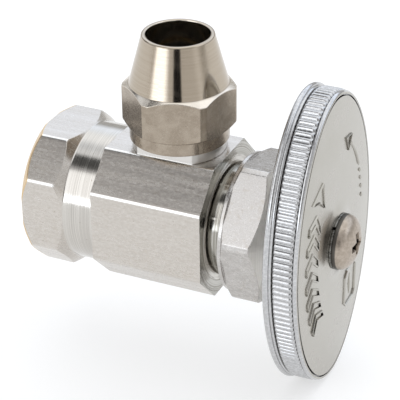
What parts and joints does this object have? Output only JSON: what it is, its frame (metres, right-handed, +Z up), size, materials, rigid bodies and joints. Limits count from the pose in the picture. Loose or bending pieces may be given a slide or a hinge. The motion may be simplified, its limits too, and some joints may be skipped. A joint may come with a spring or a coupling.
{
  "type": "angle stop valve",
  "caption": "Multi-turn angle stop valve: threaded inlet, octagonal body, upright slip-joint outlet nut, packing nut and oval handle on a rising stem.",
  "frame": {"origin": "centre of the inlet mouth, on the axis of the inlet and the stem", "axes": "+X along the valve from the inlet towards the handle, +Z up along the outlet"},
  "size_m": [0.0712, 0.045, 0.0754],
  "materials": {
    "satin_chrome": "satin chrome plate on a brass bar",
    "satin_nickel": "warm satin nickel plate",
    "packing_nut_chrome": "satin chrome plate, machined",
    "bright_chrome": "bright chrome plate",
    "screw_nickel": "warm nickel plate",
    "bare_brass": "machined brass",
    "black_rubber": "moulded black rubber",
    "packing_grey": "graphited packing",
    "zinc_washer": "dark plated spring steel"
  },
  "bodies": {
    "valve_body": {"valve_body": "satin_chrome", "packing_washer": "bare_brass", "stem_packing": "packing_grey"},
    "washer_holder": {"seat_jumper": "bare_brass", "seat_washer": "black_rubber", "seat_washer_screw": "bare_brass"},
    "spindle": {"stem": "bare_brass", "handle": "bright_chrome", "screw_lock_washer": "zinc_washer", "handle_screw": "screw_nickel"},
    "outlet_seal": {"outlet_cone_washer": "black_rubber", "outlet_friction_ring": "bare_brass"},
    "outlet_nut": {"outlet_nut": "satin_nickel"},
    "gland": {"gland_ring": "bare_brass"},
    "packing_nut": {"packing_nut": "packing_nut_chrome"}
  },
  "joints": [
    {"name": "stem_lift", "type": "slide", "parent": "valve_body", "child": "washer_holder", "axis": [1, 0, 0], "range_m": [0, 0.00477]},
    {"name": "handle_turn", "type": "hinge", "parent": "washer_holder", "child": "spindle", "pos_m": [0.05, 0, 0], "axis": [1, 0, 0], "range_deg": [0, 1080]},
    {"name": "outlet_nut_lift", "type": "slide", "parent": "valve_body", "child": "outlet_seal", "axis": [0, 0, 1], "range_m": [0, 0.0089]},
    {"name": "outlet_nut_turn", "type": "hinge", "parent": "outlet_seal", "child": "outlet_nut", "pos_m": [0.0307, 0, 0.025], "axis": [0, 0, 1], "range_deg": [0, 2520]},
    {"name": "packing_nut_lift", "type": "slide", "parent": "valve_body", "child": "gland", "axis": [1, 0, 0], "range_m": [0, 0.00032]},
    {"name": "packing_nut_turn", "type": "hinge", "parent": "gland", "child": "packing_nut", "pos_m": [0.05, 0, 0], "axis": [1, 0, 0], "range_deg": [0, 90]}
  ],
  "couplings": [
    {"joint": "stem_lift", "follows": "handle_turn", "m_per_rad": 0.00025266},
    {"joint": "outlet_nut_lift", "follows": "outlet_nut_turn", "m_per_rad": 0.00020213},
    {"joint": "packing_nut_lift", "follows": "packing_nut_turn", "m_per_rad": 0.00020213}
  ]
}
